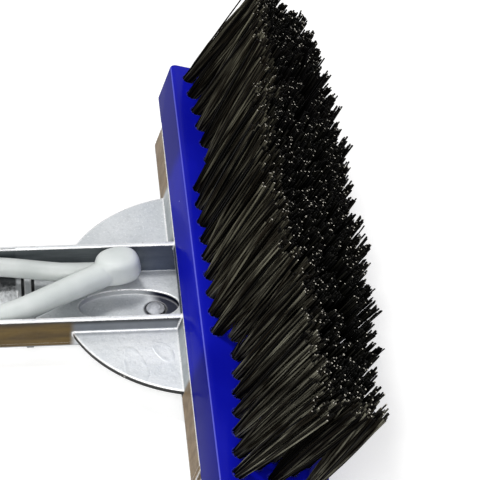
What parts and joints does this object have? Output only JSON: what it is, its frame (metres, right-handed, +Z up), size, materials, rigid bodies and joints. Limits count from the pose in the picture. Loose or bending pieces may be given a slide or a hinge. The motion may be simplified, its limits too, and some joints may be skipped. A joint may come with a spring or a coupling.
{
  "type": "pool wire brush",
  "caption": "Pool brush head: a cast aluminium back with a pole tongue, a blue plastic block of leaning bristle tufts and a sprung V clip that locks the pole.",
  "frame": {"origin": "centre of the bounding box in X and Y, at the height of the surface that the brush lies on, back down", "axes": "+X along the brush block, -Y towards the pole, +Z up from the back of the casting towards the bristle tips"},
  "size_m": [0.2042, 0.1735, 0.0655],
  "materials": {
    "cast_aluminium": "rough cast with burnished edges",
    "blue_plastic": "glossy",
    "bristle_wire": "dark wire with bright cut ends",
    "white_nylon": "satin",
    "plated_steel": "plated"
  },
  "bodies": {
    "brush": {"back_casting": "cast_aluminium", "brush_block": "blue_plastic", "bristle_bank_1": "bristle_wire", "bristle_bank_2": "bristle_wire", "bristle_bank_3": "bristle_wire", "bristle_bank_4": "bristle_wire", "bristle_bank_5": "bristle_wire", "clip_knob": "white_nylon", "block_screw_1": "plated_steel", "block_screw_2": "plated_steel", "block_screw_3": "plated_steel", "block_screw_4": "plated_steel", "block_screw_5": "plated_steel", "block_screw_6": "plated_steel", "pocket_rivet": "plated_steel"},
    "clip_right": {"clip_arm_right": "white_nylon"},
    "clip_left": {"clip_arm_left": "white_nylon"}
  },
  "joints": [
    {"name": "clip_right_press", "type": "hinge", "parent": "brush", "child": "clip_right", "pos_m": [-0.00619, 0.00325, 0.01255], "axis": [0, 0, -1], "range_deg": [0, 4.5], "stiffness_Nm_per_rad": 1},
    {"name": "clip_left_press", "type": "hinge", "parent": "brush", "child": "clip_left", "pos_m": [-0.01238, 0.00132, 0.01255], "axis": [0, 0, 1], "range_deg": [0, 4.5], "stiffness_Nm_per_rad": 1}
  ]
}
